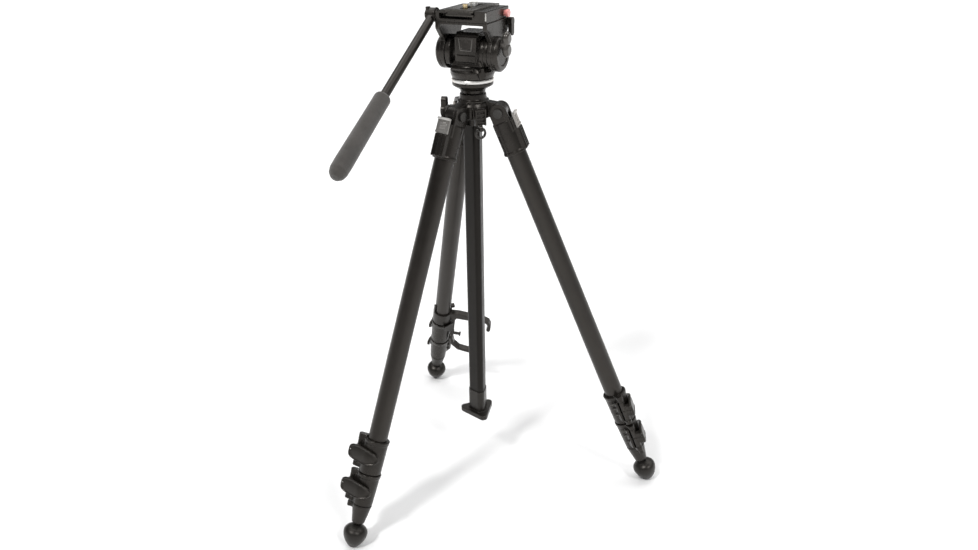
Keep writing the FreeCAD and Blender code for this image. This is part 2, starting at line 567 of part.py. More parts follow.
def plate_holder():
    """Block with the dovetail channel that the camera plate slides in."""
    block = box((-HOLDER_HALF, HOLDER_BACK, SADDLE_TOP), (HOLDER_HALF, HOLDER_FRONT, HOLDER_TOP))
    side = PLATE_HALF + 0.4
    channel = box((-side, HOLDER_BACK - 1, PLATE_BOTTOM - 0.3), (side, HOLDER_FRONT + 1, HOLDER_TOP + 1))
    slot = box((-32.0, HOLDER_BACK - 1, 741.0), (17.0, HOLDER_BACK + 12.0, PLATE_BOTTOM + 2.6))
    corner = box((-HOLDER_HALF - 1, HOLDER_BACK - 1, HOLDER_TOP - 2),
                 (-33.0, HOLDER_FRONT + 1, HOLDER_TOP + 1))
    button = cylinder(4.0 + RUNNING, 12.0, (HOLDER_HALF - 9.0, 26.0, 743.5), X_AXIS)
    body = block.cut(channel).cut(slot).cut(corner).cut(button)
    guides = []
    for low in (-side, side - 2.0):
        guides.append(box((low, HOLDER_BACK + 12.0, PLATE_BOTTOM + 2.6),
                          (low + 2.0, HOLDER_FRONT, PLATE_BOTTOM + 4.0)))
    return joined([body] + guides)


def sliding_plate():
    """Long camera plate with a groove down each side and a screw slot."""
    back, front = PLATE_BACK, PLATE_BACK + PLATE_LENGTH
    body = box((-PLATE_HALF, back, PLATE_BOTTOM), (PLATE_HALF, front, PLATE_TOP))
    for side in (-1, 1):
        inner = side * (PLATE_HALF - 2.4)
        outer = side * (PLATE_HALF + 1)
        groove = box((min(inner, outer), back - 1, PLATE_BOTTOM + 2.2),
                     (max(inner, outer), front + 1, PLATE_BOTTOM + 4.4))
        body = body.cut(groove)
    slot = box((-STUD_R - 0.3, -26.0, PLATE_BOTTOM - 1), (STUD_R + 0.3, 28.0, PLATE_TOP + 1))
    recess = box((-7.5, -27.0, PLATE_BOTTOM - 1), (7.5, 29.0, PLATE_BOTTOM + 3.4))
    return body.cut(slot).cut(recess)


def plate_screws():
    """Two camera screws and the pin that keeps the camera straight."""
    head_h = 2.6
    head_z = PLATE_BOTTOM + 0.5
    thread_z = PLATE_TOP + 0.3
    screws = []
    for y, stud_r, stick_out in ((-18.0, 3.175, 5.0), (3.0, STUD_R, 5.0), (15.0, 2.0, 4.0)):
        head = cylinder(min(7.0, stud_r + 3.5), head_h, (0, y, head_z))
        neck = cylinder(stud_r - 0.5, thread_z - head_z, (0, y, head_z))
        stud = cylinder(stud_r, PLATE_TOP + stick_out - thread_z, (0, y, thread_z))
        screws.append(head.fuse(neck).fuse(stud).removeSplitter())
    return Part.makeCompound(screws)


def release_button():
    stem = cylinder(4.0, 8.0, (HOLDER_HALF - 5.0, 26.0, 743.5), X_AXIS)
    cap = cylinder(5.0, 3.0, (HOLDER_HALF + 3.0, 26.0, 743.5), X_AXIS)
    return stem.fuse(cap).removeSplitter()


def plate_lock_knob():
    """Hanging lever that tightens the camera plate."""
    y, z = 34.0, SADDLE_TOP - 5.0
    pivot = cylinder(2.5, 12.0, (ARM_IN + 1.5, y, z), X_AXIS)
    hub = cylinder(5.5, 7.0, (ARM_OUT + 0.5, y, z), X_AXIS)
    blade = box((ARM_OUT + 2.0, y - 4.5, z - 14.0), (ARM_OUT + 7.5, y + 4.5, z))
    tip = cylinder(4.5, 5.5, (ARM_OUT + 2.0, y, z - 14.0), X_AXIS)
    return joined([pivot, hub, blade, tip])


def handle_rosette():
    """Toothed seat for the pan handle, fixed to the plate holder's left side."""
    x = -HOLDER_HALF - 3.4
    seat = cylinder(9.5, 2.4, (x, HANDLE_Y, HANDLE_Z), X_AXIS)
    root = cylinder(6.8, 3.4, (x, HANDLE_Y, HANDLE_Z), X_AXIS)
    stud = cylinder(HANDLE_STUD_R, 9.6, (x - 9.6, HANDLE_Y, HANDLE_Z), X_AXIS)
    return joined([seat, root, stud])


def along_handle(shape):
    """Turns a shape drawn along -Y from the rosette to the handle's slope."""
    shape.translate(V(HANDLE_X, HANDLE_Y, HANDLE_Z))
    shape.rotate(V(HANDLE_X, HANDLE_Y, HANDLE_Z), X_AXIS, HANDLE_DROP)
    return shape


def handle_tube():
    x = -HOLDER_HALF - 3.4 - 0.3
    width = 7.0
    left = x - width - HANDLE_X
    disc = cylinder(9.0, width, (left, 0, 0), X_AXIS)
    start, end = 12.0, GRIP_END - 12.0
    neck = box((left + 0.3, -start - 2, -5.0), (left + width - 0.3, 0, 5.0))
    rod = cylinder(HANDLE_TUBE_R, end - start, (0, -end, 0), Y_AXIS)
    inner = cylinder(HANDLE_TUBE_R - 1.2, end - 17.0, (0, -end - 1, 0), Y_AXIS)
    hole = cylinder(HANDLE_STUD_R + RUNNING, 30.0, (-15.0, 0, 0), X_AXIS)
    return along_handle(joined([disc, neck, rod]).cut(inner).cut(hole).removeSplitter())


def handle_grip():
    """Foam grip with a slight swell and a round end."""
    length = GRIP_END - GRIP_START
    body = turned([(0, 0), (GRIP_R - 2.2, 0), (GRIP_R - 1.0, 2.5), (GRIP_R - 0.8, 40.0),
                   (GRIP_R, length - 26.0), (GRIP_R - 0.3, length - 12.0),
                   (GRIP_R - 2.2, length - 5.5), (GRIP_R - 6.0, length - 1.2), (0, length)])
    body.rotate(ORIGIN, X_AXIS, 90.0)
    body.translate(V(0, -GRIP_START, 0))
    socket = cylinder(HANDLE_TUBE_R, length, (0, -(GRIP_END - 12.0), 0), Y_AXIS)
    return along_handle(body.cut(socket))


def handle_knob():
    """Clamp knob on the rosette's stud, outside the handle."""
    x = -HOLDER_HALF - 3.4 - 0.3 - 7.0 - 0.3
    knob = cylinder(6.5, 6.0, (x - 6.0, HANDLE_Y, HANDLE_Z), X_AXIS)
    wing = box((x - 6.0, HANDLE_Y - 3.0, HANDLE_Z), (x - 1.5, HANDLE_Y + 3.0, HANDLE_Z + 10.0))
    hole = cylinder(HANDLE_STUD_R + RUNNING, 4.0, (x - 2.0, HANDLE_Y, HANDLE_Z), X_AXIS)
    return joined([knob, wing]).cut(hole)


FIXED = {
    "shoulder_casting": shoulder_casting,
    "hinge_bolts": hinge_bolts,
    "column_bush": column_bush,
    "column_lock_knob": column_lock_knob,
    "strap_bracket": strap_bracket,
    "strap_ring": strap_ring,
    "column_tube": column_tube,
    "column_top_plate": column_top_plate,
    "column_end_plate": column_end_plate,
    "head_base_ring": head_base_ring,
}

HEAD = {
    "pan_base": pan_base,
    "pan_lock_knob": pan_lock_knob,
    "drag_housing": drag_housing,
    "tilt_shaft": tilt_shaft,
    "cradle": cradle,
    "side_caps": side_caps,
    "tilt_knob": tilt_knob,
    "plate_holder": plate_holder,
    "sliding_plate": sliding_plate,
    "plate_screws": plate_screws,
    "release_button": release_button,
    "plate_lock_knob": plate_lock_knob,
    "handle_rosette": handle_rosette,
    "handle_tube": handle_tube,
    "handle_grip": handle_grip,
    "handle_knob": handle_knob,
}

for leg_name, leg_azimuth in LEG_AZIMUTHS.items():
    make_leg(leg_name, leg_azimuth)
save("leg_clip", place_on_leg(leg_clip(), LEG_AZIMUTHS["rear"]))
for node_name, make in FIXED.items():
    save(node_name, make())
for node_name, make in HEAD.items():
    save(node_name, place_on_head(make()))
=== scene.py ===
import json
import math
import bmesh
import bpy
from mathutils import Matrix, Vector

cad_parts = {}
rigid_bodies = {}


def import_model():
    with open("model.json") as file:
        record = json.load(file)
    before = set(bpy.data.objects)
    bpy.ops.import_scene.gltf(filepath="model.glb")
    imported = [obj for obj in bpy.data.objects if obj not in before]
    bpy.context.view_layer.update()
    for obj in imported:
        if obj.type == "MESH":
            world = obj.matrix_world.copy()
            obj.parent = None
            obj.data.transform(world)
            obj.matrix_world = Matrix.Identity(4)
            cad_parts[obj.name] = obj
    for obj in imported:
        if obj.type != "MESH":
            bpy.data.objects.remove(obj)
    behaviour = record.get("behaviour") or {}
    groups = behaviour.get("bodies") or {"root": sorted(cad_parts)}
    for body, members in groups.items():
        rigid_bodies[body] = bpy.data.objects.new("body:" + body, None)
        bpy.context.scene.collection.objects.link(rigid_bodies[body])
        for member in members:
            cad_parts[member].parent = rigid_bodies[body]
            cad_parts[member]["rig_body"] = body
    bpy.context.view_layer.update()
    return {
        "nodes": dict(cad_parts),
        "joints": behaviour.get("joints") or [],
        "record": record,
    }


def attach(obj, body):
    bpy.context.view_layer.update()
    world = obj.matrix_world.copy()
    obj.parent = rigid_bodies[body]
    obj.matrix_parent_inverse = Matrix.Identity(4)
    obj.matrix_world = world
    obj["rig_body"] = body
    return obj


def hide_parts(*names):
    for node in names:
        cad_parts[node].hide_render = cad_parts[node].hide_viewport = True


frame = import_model()

# Shapes are drawn in millimetres in one of three local frames: a leg's own
# frame (origin at its hinge pin, -Z down the leg, +X outward), the fluid
# head's frame (+Y towards the lens) and the row frame. Each frame comes from
# the record's joints, and most places and sizes come from the CAD nodes' boxes.
MM = 0.001
LEGS = ("rear", "front_left", "right")
JOINTS = {joint["name"]: joint for joint in frame["joints"]}


# ---------------------------------------------------------------- frames

def axes_matrix(x, y, z, origin):
    """The frame with these axes and this origin."""
    rotation = Matrix((x, y, z)).transposed().to_4x4()
    return Matrix.Translation(origin) @ rotation


def leg_matrix(leg):
    """Origin at the hinge pin, -Z down the leg, +X outward."""
    down = Vector(JOINTS[leg + "_middle_extend"]["axis"]).normalized()
    y = -Vector(JOINTS[leg + "_leg_fold"]["axis"]).normalized()
    z = -down
    return axes_matrix(y.cross(z), y, z, Vector(JOINTS[leg + "_leg_fold"]["pos_m"]))


def head_matrix():
    """Turned about Z as the head is: +X along the tilt axis, +Y towards the lens."""
    x = Vector(JOINTS["tilt_turn"]["axis"]).normalized()
    z = Vector((0, 0, 1))
    return axes_matrix(x, z.cross(x), z, Vector((0, 0, 0)))


ROW = Matrix.Identity(4)
HEAD = head_matrix()
LEG = {leg: leg_matrix(leg) for leg in LEGS}


# ---------------------------------------------------------------- solids
# A solid is a pair (points in millimetres, faces). Every one is closed.

def cad_solid(node, matrix):
    """A CAD node's own surface, in a local frame."""
    mesh = frame["nodes"][node].data
    back = matrix.inverted()
    points = [(back @ v.co) / MM for v in mesh.vertices]
    return points, [tuple(p.vertices) for p in mesh.polygons]


def span(node, matrix):
    """Lowest and highest corner of a CAD node in a local frame, in millimetres."""
    points = cad_solid(node, matrix)[0]
    low = [min(p[k] for p in points) for k in range(3)]
    high = [max(p[k] for p in points) for k in range(3)]
    return Vector(low), Vector(high)


def prism(outline, height):
    """Extrudes a flat polygon of 3-D points along a vector."""
    h = Vector(height)
    n = len(outline)
    base = [Vector(p) for p in outline]
    points = base + [p + h for p in base]
    faces = [tuple(range(n - 1, -1, -1)), tuple(range(n, 2 * n))]
    faces += [(k, (k + 1) % n, n + (k + 1) % n, n + k) for k in range(n)]
    return points, faces


def block(low, high):
    """A box between two corners."""
    (a, b, c), (d, e, f) = low, high
    return prism([(a, b, c), (d, b, c), (d, e, c), (a, e, c)], (0, 0, f - c))


def lathe(profile, steps=64, axis="Z", at=(0, 0, 0)):
    """Turns (radius, height) corners about an axis. A radius of 0 closes the shape."""
    rings = []
    points = []
    for r, z in profile:
        if r < 1e-6:
            rings.append([len(points)])
            points.append(Vector((0, 0, z)))
            continue
        rings.append(list(range(len(points), len(points) + steps)))
        for k in range(steps):
            a = 2 * math.pi * k / steps
            points.append(Vector((r * math.cos(a), r * math.sin(a), z)))
    faces = []
    pairs = list(zip(rings, rings[1:]))
    if len(rings[0]) > 1:
        pairs.append((rings[-1], rings[0]))
    for one, two in pairs:
        if len(one) == 1 and len(two) == 1:
            continue
        for k in range(steps):
            n = (k + 1) % steps
            if len(one) == 1:
                faces.append((one[0], two[k], two[n]))
            elif len(two) == 1:
                faces.append((one[k], two[0], one[n]))
            else:
                faces.append((one[k], two[k], two[n], one[n]))
    turn = {"Z": Matrix.Identity(3), "X": Matrix.Rotation(math.pi / 2, 3, "Y"),
            "Y": Matrix.Rotation(-math.pi / 2, 3, "X")}[axis]
    return [turn @ p + Vector(at) for p in points], faces


def rod(radius, start, length, axis="Z", steps=48, bevel=0.0):
    """A round bar, with broken edges where a bevel is given."""
    if bevel:
        profile = [(0, 0), (radius - bevel, 0), (radius, bevel),
                   (radius, length - bevel), (radius - bevel, length), (0, length)]
    else:
        profile = [(0, 0), (radius, 0), (radius, length), (0, length)]
    return lathe(profile, steps, axis, start)


def rounded(profile, radius, steps=4):
    """Rounds the corners of an open (radius, height) profile."""
    made = [profile[0]]
    for k in range(1, len(profile) - 1):
        p = Vector(profile[k])
        before = Vector(profile[k - 1]) - p
        after = Vector(profile[k + 1]) - p
        cut = min(radius, before.length * 0.45, after.length * 0.45)
        a = p + before.normalized() * cut
        b = p + after.normalized() * cut
        for s in range(steps + 1):
            t = s / steps
            q = a * (1 - t) ** 2 + p * 2 * t * (1 - t) + b * t ** 2
            made.append((q.x, q.y))
    made.append(profile[-1])
    return made


def hoop(ring_r, wire_r, at, axis="Z", steps=64, around=12):
    """A ring of round wire."""
    profile = []
    for k in range(around):
        a = 2 * math.pi * k / around
        profile.append((ring_r + wire_r * math.cos(a), wire_r * math.sin(a)))
    return lathe(profile, steps, axis, at)


def lever_plate(middle, half_h, low_y, high_y, radius, thick, dish, crown, rings=12, steps=72):
    """A thumb plate that wraps a clamp: arc on the free side, nearly straight on the other."""
    middle_s, half_s = (low_y + high_y) / 2, (high_y - low_y) / 2
    lean = 0.08
    square_end, oval_end = 0.5, 0.95
    rim_from, rim_drop, rim_lift = 0.97, 0.9, 0.5
    basin_edge, basin_blend = 0.80, 0.10
    under_crown = 0.6

    def spine(s):
        """Point and outward normal at a distance along the plate's middle line."""
        if s > 0:
            cos_a, sin_a = math.cos(s / radius), math.sin(s / radius)
            return Vector((radius * cos_a, radius * sin_a, 0)), Vector((cos_a, sin_a, 0))
        return Vector((radius - lean * s, s, 0)), Vector((1, lean, 0)).normalized()

    points = []
    for outer in (0, 1):
        for ring in range(rings + 1):
            f = ring / rings
            count = 1 if ring == 0 else steps
            for k in range(count):
                t = 2 * math.pi * k / steps
                power = square_end if math.cos(t) < 0 else oval_end
                u = math.copysign(abs(math.cos(t)) ** power, math.cos(t)) * f
                v = math.copysign(abs(math.sin(t)) ** power, math.sin(t)) * f
                at, normal = spine(middle_s + half_s * u)
                rim = 1.0 if f > rim_from else 0.0
                basin = dish * (1.0 - min(1.0, max(0.0, (f - basin_edge) / basin_blend)) ** 2)
                bow = crown * v * v
                if outer:
                    depth = thick - basin - bow - rim_drop * rim
                else:
                    depth = -bow * under_crown + rim_lift * rim
                points.append(at + normal * depth + Vector((0, 0, middle + half_h * v)))
    return points, disc_pair_faces(rings, steps)


def disc_pair_faces(rings, steps):
    """Faces of two concentric-ring discs, one over the other, closed at the rim."""
    faces = []
    layer = 1 + rings * steps
    for top in (0, 1):
        base = top * layer
        for k in range(steps):
            n = (k + 1) % steps
            first = (base, base + 1 + k, base + 1 + n)
            faces.append(first if top else first[::-1])
            for ring in range(rings - 1):
                a = base + 1 + ring * steps
                b = a + steps
                quad = (a + k, b + k, b + n, a + n)
                faces.append(quad if top else quad[::-1])
    rim = 1 + (rings - 1) * steps
    for k in range(steps):
        n = (k + 1) % steps
        faces.append((rim + k, rim + n, layer + rim + n, layer + rim + k))
    return faces


def joined_mesh(solids):
    """One mesh of several solids, with its normals facing out."""
    points = []
    faces = []
    for solid in solids:
        base = len(points)
        points += [tuple(p) for p in solid[0]]
        faces += [tuple(i + base for i in face) for face in solid[1]]
    mesh = bpy.data.meshes.new("solid")
    mesh.from_pydata(points, [], faces)
    work = bmesh.new()
    work.from_mesh(mesh)
    bmesh.ops.remove_doubles(work, verts=work.verts, dist=1e-4)
    bmesh.ops.recalc_face_normals(work, faces=work.faces)
    work.to_mesh(mesh)
    work.free()
    return mesh


def linked(name, data):
    """A new object in the scene."""
    obj = bpy.data.objects.new(name, data)
    bpy.context.scene.collection.objects.link(obj)
    return obj


def applied(obj):
    """The mesh with its modifiers applied; the object itself is removed."""
    graph = bpy.context.evaluated_depsgraph_get()
    mesh = bpy.data.meshes.new_from_object(obj.evaluated_get(graph))
    old = obj.data
    bpy.data.objects.remove(obj)
    bpy.data.meshes.remove(old)
    return mesh


def moulded(solids, cuts=(), voxel=0.6, rounds=3, keep=0.35, late_cuts=()):
    """Melts solids into one skin with small fillets, as a casting or moulding has.

    The late cuts come after the fillets, so their edges stay sharp."""
    work = linked("work", joined_mesh(solids))
    helpers = []

    def melt(name):
        skin = work.modifiers.new(name, "REMESH")
        skin.mode = "VOXEL"
        skin.voxel_size = voxel

    def cut_with(group):
        for cut in group:
            tool = linked("tool", joined_mesh([cut]))
            helpers.append(tool)
            step = work.modifiers.new("cut", "BOOLEAN")
            step.operation = "DIFFERENCE"
            step.solver = "EXACT"
            step.object = tool

    melt("skin")
    cut_with(cuts)
    if cuts:
        melt("skin2")
    smooth = work.modifiers.new("fillet", "SMOOTH")
    smooth.factor = 0.5
    smooth.iterations = rounds
    thin = work.modifiers.new("thin", "DECIMATE")
    thin.ratio = keep
    cut_with(late_cuts)
    mesh = applied(work)
    for tool in helpers:
        data = tool.data
        bpy.data.objects.remove(tool)
        bpy.data.meshes.remove(data)
    return mesh


def crisp(solids, bevel=0.4, segments=2, angle=35.0):
    """Joins solids and breaks their sharp edges with a small bevel."""
    work = linked("work", joined_mesh(solids))
    flat = work.modifiers.new("flat", "DECIMATE")
    flat.decimate_type = "DISSOLVE"
    flat.angle_limit = math.radians(1.0)
    edge = work.modifiers.new("edge", "BEVEL")
    edge.width = bevel
    edge.segments = segments
    edge.limit_method = "ANGLE"
    edge.angle_limit = math.radians(angle)
    edge.use_clamp_overlap = True
    return applied(work)


# ---------------------------------------------------------------- materials

def noise(tree, coords, scale, detail=3.0, rough=0.6, stretch=None):
    """A noise value, drawn out into streaks where a stretch is given."""
    links = tree.links
    if stretch:
        mapping = tree.nodes.new("ShaderNodeMapping")
        mapping.inputs["Scale"].default_value = stretch
        links.new(coords, mapping.inputs["Vector"])
        coords = mapping.outputs["Vector"]
    node = tree.nodes.new("ShaderNodeTexNoise")
    node.inputs["Scale"].default_value = scale
    node.inputs["Detail"].default_value = detail
    node.inputs["Roughness"].default_value = rough
    links.new(coords, node.inputs["Vector"])
    return node.outputs["Fac"]


def ranged(tree, value, low, high, from_low=0.3, from_high=0.7):
    """A value mapped from one range to another."""
    node = tree.nodes.new("ShaderNodeMapRange")
    node.inputs["From Min"].default_value = from_low
    node.inputs["From Max"].default_value = from_high
    node.inputs["To Min"].default_value = low
    node.inputs["To Max"].default_value = high
    tree.links.new(value, node.inputs["Value"])
    return node.outputs["Result"]


def mixed(tree, factor, one, two):
    """A blend of two colours, each a colour or another node's output."""
    node = tree.nodes.new("ShaderNodeMix")
    node.data_type = "RGBA"
    tree.links.new(factor, node.inputs["Factor"])
    for key, value in (("A", one), ("B", two)):
        socket = [s for s in node.inputs if s.name == key and s.type == "RGBA"][0]
        if isinstance(value, tuple):
            socket.default_value = (*value, 1.0)
        else:
            tree.links.new(value, socket)
    return [s for s in node.outputs if s.type == "RGBA"][0]


BLOTCH_SCALE = 35.0
# Pointiness from which convex edges are lightened: partly real wear, partly painted highlight.
EDGE_WEAR_AND_HIGHLIGHT_AT = 0.56
WARM_SPECULAR = (1.0, 0.93, 0.86, 1.0)


def finish_material(name, dark, light, rough, grain, bump, metallic=0.0, edge_wear_and_highlight=None, streak=None,
                    coat=0.0, sheen=0.0, specular=0.5, cells=None, bump_reach=0.0002):
    """A surface with patchy colour and gloss, a fine grain, and lighter edges: partly rubbed wear,
    partly painted highlight.
    """
    mat = bpy.data.materials.new(name)
    mat.use_nodes = True
    tree = mat.node_tree
    shader = tree.nodes["Principled BSDF"]
    coords = tree.nodes.new("ShaderNodeTexCoord").outputs["Object"]
    blotch = noise(tree, coords, BLOTCH_SCALE, 4.0)
    colour = mixed(tree, ranged(tree, blotch, 0.0, 1.0), dark, light)
    fine = noise(tree, coords, grain, 2.0)
    if streak:
        lines = noise(tree, coords, 1.0, 3.0, 0.7, streak)
        colour = mixed(tree, ranged(tree, lines, 0.0, 0.45), colour, light)
        height = lines
    elif cells:
        cell = tree.nodes.new("ShaderNodeTexVoronoi")
        cell.inputs["Scale"].default_value = cells
        tree.links.new(coords, cell.inputs["Vector"])
        height = cell.outputs["Distance"]
        # The cells are darkened in their pits: painted shade in the foam's pores.
        colour = mixed(tree, ranged(tree, height, 0.5, 0.0, 0.0, 0.6), colour, dark)
    else:
        height = fine
    # Convex edges are lightened towards a pale colour: partly rubbed wear, partly a painted highlight
    # along the edges.
    if edge_wear_and_highlight:
        edge = tree.nodes.new("ShaderNodeNewGeometry").outputs["Pointiness"]
        worn_and_lit_edges = ranged(tree, edge, 0.0, 1.0, EDGE_WEAR_AND_HIGHLIGHT_AT - 0.04, EDGE_WEAR_AND_HIGHLIGHT_AT + 0.05)
        patchy_worn_and_lit_edges = tree.nodes.new("ShaderNodeMath")
        patchy_worn_and_lit_edges.operation = "MULTIPLY"
        tree.links.new(worn_and_lit_edges, patchy_worn_and_lit_edges.inputs[0])
        tree.links.new(ranged(tree, noise(tree, coords, 260.0), 0.15, 1.0), patchy_worn_and_lit_edges.inputs[1])
        colour = mixed(tree, patchy_worn_and_lit_edges.outputs[0], colour, edge_wear_and_highlight)
    tree.links.new(colour, shader.inputs["Base Color"])
    gloss = noise(tree, coords, BLOTCH_SCALE * 2.3, 5.0)
    tree.links.new(ranged(tree, gloss, rough[0], rough[1]), shader.inputs["Roughness"])
    shader.inputs["Metallic"].default_value = metallic
    shader.inputs["Specular IOR Level"].default_value = specular
    shader.inputs["Specular Tint"].default_value = WARM_SPECULAR
    shader.inputs["Coat Weight"].default_value = coat
    shader.inputs["Coat Roughness"].default_value = 0.25
    shader.inputs["Sheen Weight"].default_value = sheen
    shader.inputs["Sheen Roughness"].default_value = 0.6
    relief = tree.nodes.new("ShaderNodeBump")
    relief.inputs["Strength"].default_value = bump
    relief.inputs["Distance"].default_value = bump_reach
    tree.links.new(height, relief.inputs["Height"])
    tree.links.new(relief.outputs["Normal"], shader.inputs["Normal"])
    return mat


# Each pale edge colour below lightens convex edges: partly wear, partly painted highlight.
MATS = {
    "black_casting": finish_material(
        "cast_black", (0.0055, 0.0048, 0.0041), (0.0125, 0.0110, 0.0096), (0.24, 0.34), 1400.0, 0.22,
        edge_wear_and_highlight=(0.075, 0.070, 0.064), specular=0.36),
    "black_tube": finish_material(
        "tube_black", (0.0052, 0.0043, 0.0036), (0.0098, 0.0084, 0.0072), (0.30, 0.40), 2000.0, 0.05,
        streak=(900.0, 900.0, 9.0), specular=0.5),
    "black_plastic": finish_material(
        "moulded_black", (0.0060, 0.0053, 0.0046), (0.0135, 0.0120, 0.0106), (0.26, 0.38), 2600.0, 0.25,
        edge_wear_and_highlight=(0.070, 0.065, 0.059), specular=0.36),
    "foot_rubber": finish_material(
        "foot_rubber", (0.0050, 0.0045, 0.0040), (0.0115, 0.0104, 0.0094), (0.30, 0.45), 900.0, 0.2,
        edge_wear_and_highlight=(0.05, 0.047, 0.044), specular=0.32, sheen=0.03),
    "foam": finish_material(
        "grip_foam", (0.028, 0.0255, 0.0232), (0.056, 0.051, 0.0465), (0.75, 0.95), 900.0, 0.55,
        cells=1100.0, sheen=0.3, bump_reach=0.0005, specular=0.3),
    "silver": finish_material(
        "cast_silver", (0.62, 0.61, 0.59), (0.80, 0.79, 0.77), (0.24, 0.36), 1200.0, 0.2,
        metallic=0.75, edge_wear_and_highlight=(0.95, 0.94, 0.92)),
    "steel": finish_material(
        "steel", (0.52, 0.52, 0.51), (0.70, 0.70, 0.68), (0.2, 0.32), 1500.0, 0.15, metallic=0.9,
        streak=(60.0, 60.0, 3200.0)),
    "brass": finish_material(
        "brass", (0.64, 0.50, 0.28), (0.84, 0.70, 0.44), (0.2, 0.32), 1500.0, 0.12, metallic=0.85),
    "red_button": finish_material(
        "red_button", (0.66, 0.20, 0.18), (0.80, 0.33, 0.31), (0.18, 0.28), 1800.0, 0.08, coat=0.5),
    "black_steel": finish_material(
        "black_steel", (0.03, 0.029, 0.028), (0.06, 0.058, 0.055), (0.22, 0.32), 1500.0, 0.1,
        metallic=0.8),
    "head_plastic": finish_material(
        "head_grey", (0.0085, 0.0077, 0.0068), (0.0185, 0.0168, 0.0150), (0.20, 0.30), 1900.0, 0.2,
        edge_wear_and_highlight=(0.12, 0.112, 0.10), specular=0.42),
    # A darker copy of the tube finish for the column: painted shade on the column.
    "shaded_column_black": finish_material(
        "shaded_column_black", (0.0022, 0.0018, 0.0015), (0.0044, 0.0038, 0.0032), (0.34, 0.44), 2000.0, 0.05,
        streak=(900.0, 900.0, 9.0), specular=0.24),
    "head_gloss": finish_material(
        "head_gloss", (0.030, 0.028, 0.0255), (0.050, 0.047, 0.043), (0.16, 0.26), 1900.0, 0.1,
        edge_wear_and_highlight=(0.13, 0.125, 0.12), specular=0.6, coat=0.25),
    "tab_grey": finish_material(
        "tab_grey", (0.20, 0.19, 0.18), (0.30, 0.29, 0.275), (0.3, 0.42), 1500.0, 0.2, metallic=0.55,
        edge_wear_and_highlight=(0.7, 0.69, 0.67)),
    # Bright metal for small pieces that stand for highlights and glints: painted highlight.
    "painted_glint": finish_material(
        "painted_glint", (0.45, 0.44, 0.42), (0.68, 0.67, 0.64), (0.25, 0.4), 1800.0, 0.15, metallic=0.4),
    # A lighter grey for thin ribs and fins: a painted highlight on their edges.
    "edge_highlight_grey": finish_material(
        "edge_highlight_grey", (0.060, 0.058, 0.055), (0.10, 0.096, 0.09), (0.3, 0.4), 1800.0, 0.1),
}
SLOTS = {row["node"]: row["material_slot"] for row in frame["record"]["subparts"]}


# ---------------------------------------------------------------- pieces

def place(name, mesh, matrix, body, node=None, look=None, sharp=40.0):
    """Puts a local mesh in the row frame, on its body, in place of its CAD node."""
    mesh = mesh.copy()
    mesh.transform(Matrix.Scale(MM, 4))
    mesh.shade_smooth()
    mesh.set_sharp_from_angle(angle=math.radians(sharp))
    look = look or SLOTS[node]
    mesh.materials.clear()
    mesh.materials.append(MATS[look])
    obj = linked(name, mesh)
    obj.matrix_world = matrix
    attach(obj, body)
    if node:
        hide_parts(node)
    return obj


def body_of(node):
    return frame["nodes"][node]["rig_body"]


def look_of(node, look=None):
    """Gives a carried-over CAD node its material."""
    obj = frame["nodes"][node]
    obj.data.materials.clear()
    obj.data.materials.append(MATS[look or SLOTS[node]])


def moulded_skin(node, matrix, name=None, look=None, cuts=(), voxel=0.5, rounds=3, keep=0.4):
    """Puts a moulded copy of a CAD node in its stead."""
    mesh = moulded([cad_solid(node, matrix)], cuts=cuts, voxel=voxel, rounds=rounds, keep=keep)
    return place(name or node + "_skin", mesh, matrix, body_of(node), node, look)


def crisp_skin(node, matrix, bevel, look=None):
    """Puts a copy of a CAD node in its stead, with its sharp edges broken."""
    place(node + "_skin", crisp([cad_solid(node, matrix)], bevel), matrix, body_of(node), node, look)


def on_every_leg(piece, mesh, look=None, suffix="_skin"):
    """Puts one mesh on all three legs. Only a skin stands for its CAD node."""
    for leg in LEGS:
        cad = leg + "_" + piece
        place(cad + suffix, mesh, LEG[leg], body_of(cad), cad if suffix == "_skin" else None, look)


# ---------------------------------------------------------------- legs

# The three legs are alike, so each piece is made once, in the rear leg's frame.
REAR = LEG["rear"]
TUBE_WALL = 1.3
SLEEVE_RADIUS = 17.0
SLEEVE_BORE = 14.5


def pipe(outer, wall, low, high, edge=0.4):
    """A round tube with broken edges at both ends."""
    inner = outer - wall
    return lathe([(outer, low + edge), (outer, high - edge), (outer - edge, high),
                  (inner + edge, high), (inner, high - edge), (inner, low + edge),
                  (inner + edge, low), (outer - edge, low)], 96)


def make_tubes():
    for piece in ("upper_tube", "middle_tube", "lower_tube"):
        low, high = span("rear_" + piece, REAR)
        on_every_leg(piece, joined_mesh([pipe(high.x, TUBE_WALL, low.z, high.z)]))


def make_top_castings():
    """Hinge casting, with a lip round the tube's mouth and a flush screw head on each side."""
    low, high = span("rear_top_casting", REAR)
    lip_h, lip_r = 5.5, SLEEVE_RADIUS + 0.9
    lip = lathe(rounded([(SLEEVE_BORE, low.z), (lip_r, low.z), (lip_r, low.z + 4.0),
                         (SLEEVE_RADIUS - 0.5, low.z + lip_h), (SLEEVE_BORE, low.z + lip_h)], 0.8), 72)
    head_r, head_h, head_z = 2.6, 1.2, -42.0
    screws = [rod(head_r, (-2.0, start, head_z), head_h, "Y")
              for start in (-SLEEVE_RADIUS, SLEEVE_RADIUS - head_h)]
    on_every_leg("top_casting", moulded([cad_solid("rear_top_casting", REAR), lip] + screws,
                                        voxel=0.55, rounds=3, keep=0.4))


